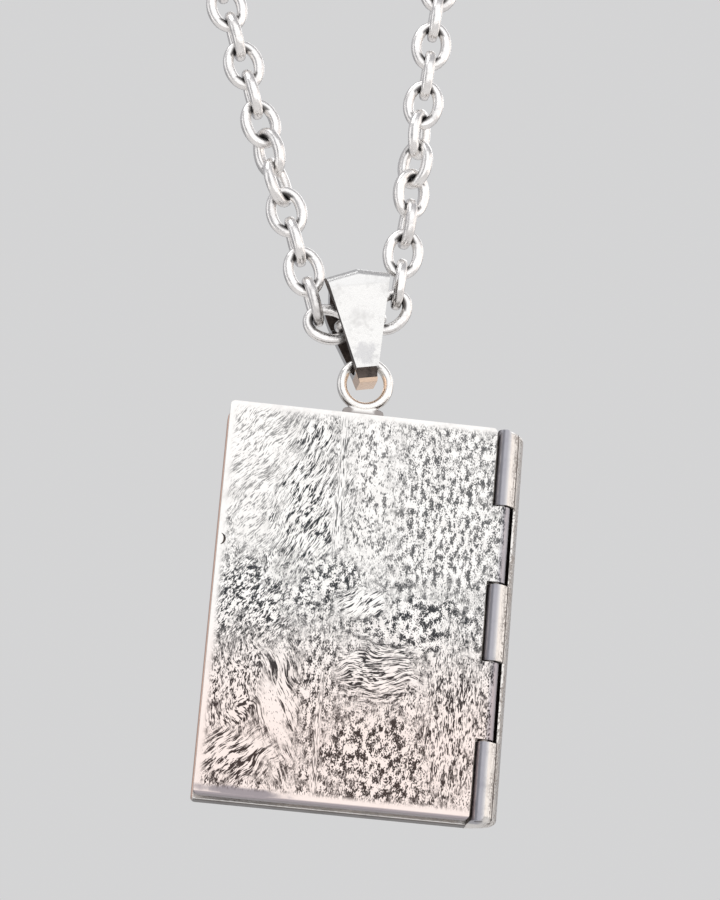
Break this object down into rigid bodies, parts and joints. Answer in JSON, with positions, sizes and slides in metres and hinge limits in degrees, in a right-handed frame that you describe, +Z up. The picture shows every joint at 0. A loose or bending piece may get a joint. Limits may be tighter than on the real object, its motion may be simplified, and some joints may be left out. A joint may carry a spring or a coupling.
{
  "type": "book locket necklace",
  "caption": "Book-shaped hinged locket with a tapered bail, hanging from a long cable chain; the front cover opens on a knuckled spine hinge.",
  "frame": {"origin": "Inner side of the top of the chain loop, at the back of the neck, where the necklace hangs.", "axes": "+Z up, the way the necklace hangs; the book's decorated front cover faces -Y; the spine is on the +X side."},
  "size_m": [0.0821, 0.0056, 0.254],
  "materials": {
    "cover_silver": "worn silver with a scratched, darkly oxidised pattern",
    "case_silver": "worn polished silver with fine scratches and dark hollows",
    "pin_silver": "dull silver wire",
    "bail_silver": "bright satin silver",
    "chain_silver": "polished silver wire, darker in the corners",
    "clasp_silver": "polished silver"
  },
  "bodies": {
    "chain": {"chain_left": "chain_silver", "chain_right": "chain_silver", "clasp": "clasp_silver"},
    "bail": {"bail": "bail_silver"},
    "book": {"back_case": "case_silver", "hinge_pin": "pin_silver"},
    "cover": {"front_cover": "cover_silver"}
  },
  "joints": [
    {"name": "bail_swing", "type": "hinge", "parent": "chain", "child": "bail", "pos_m": [-0.0002, -0.00001, -0.2144], "axis": [0.9977, 0.0348, 0.0576], "range_deg": [-25, 35]},
    {"name": "book_swing", "type": "hinge", "parent": "bail", "child": "book", "pos_m": [0, 0, -0.21794], "axis": [1, 0, 0], "range_deg": [-40, 50]},
    {"name": "cover_hinge", "type": "hinge", "parent": "book", "child": "cover", "pos_m": [0.00978, -0.00165, -0.22112], "axis": [0.1564, 0, 0.9877], "range_deg": [0, 120]}
  ]
}
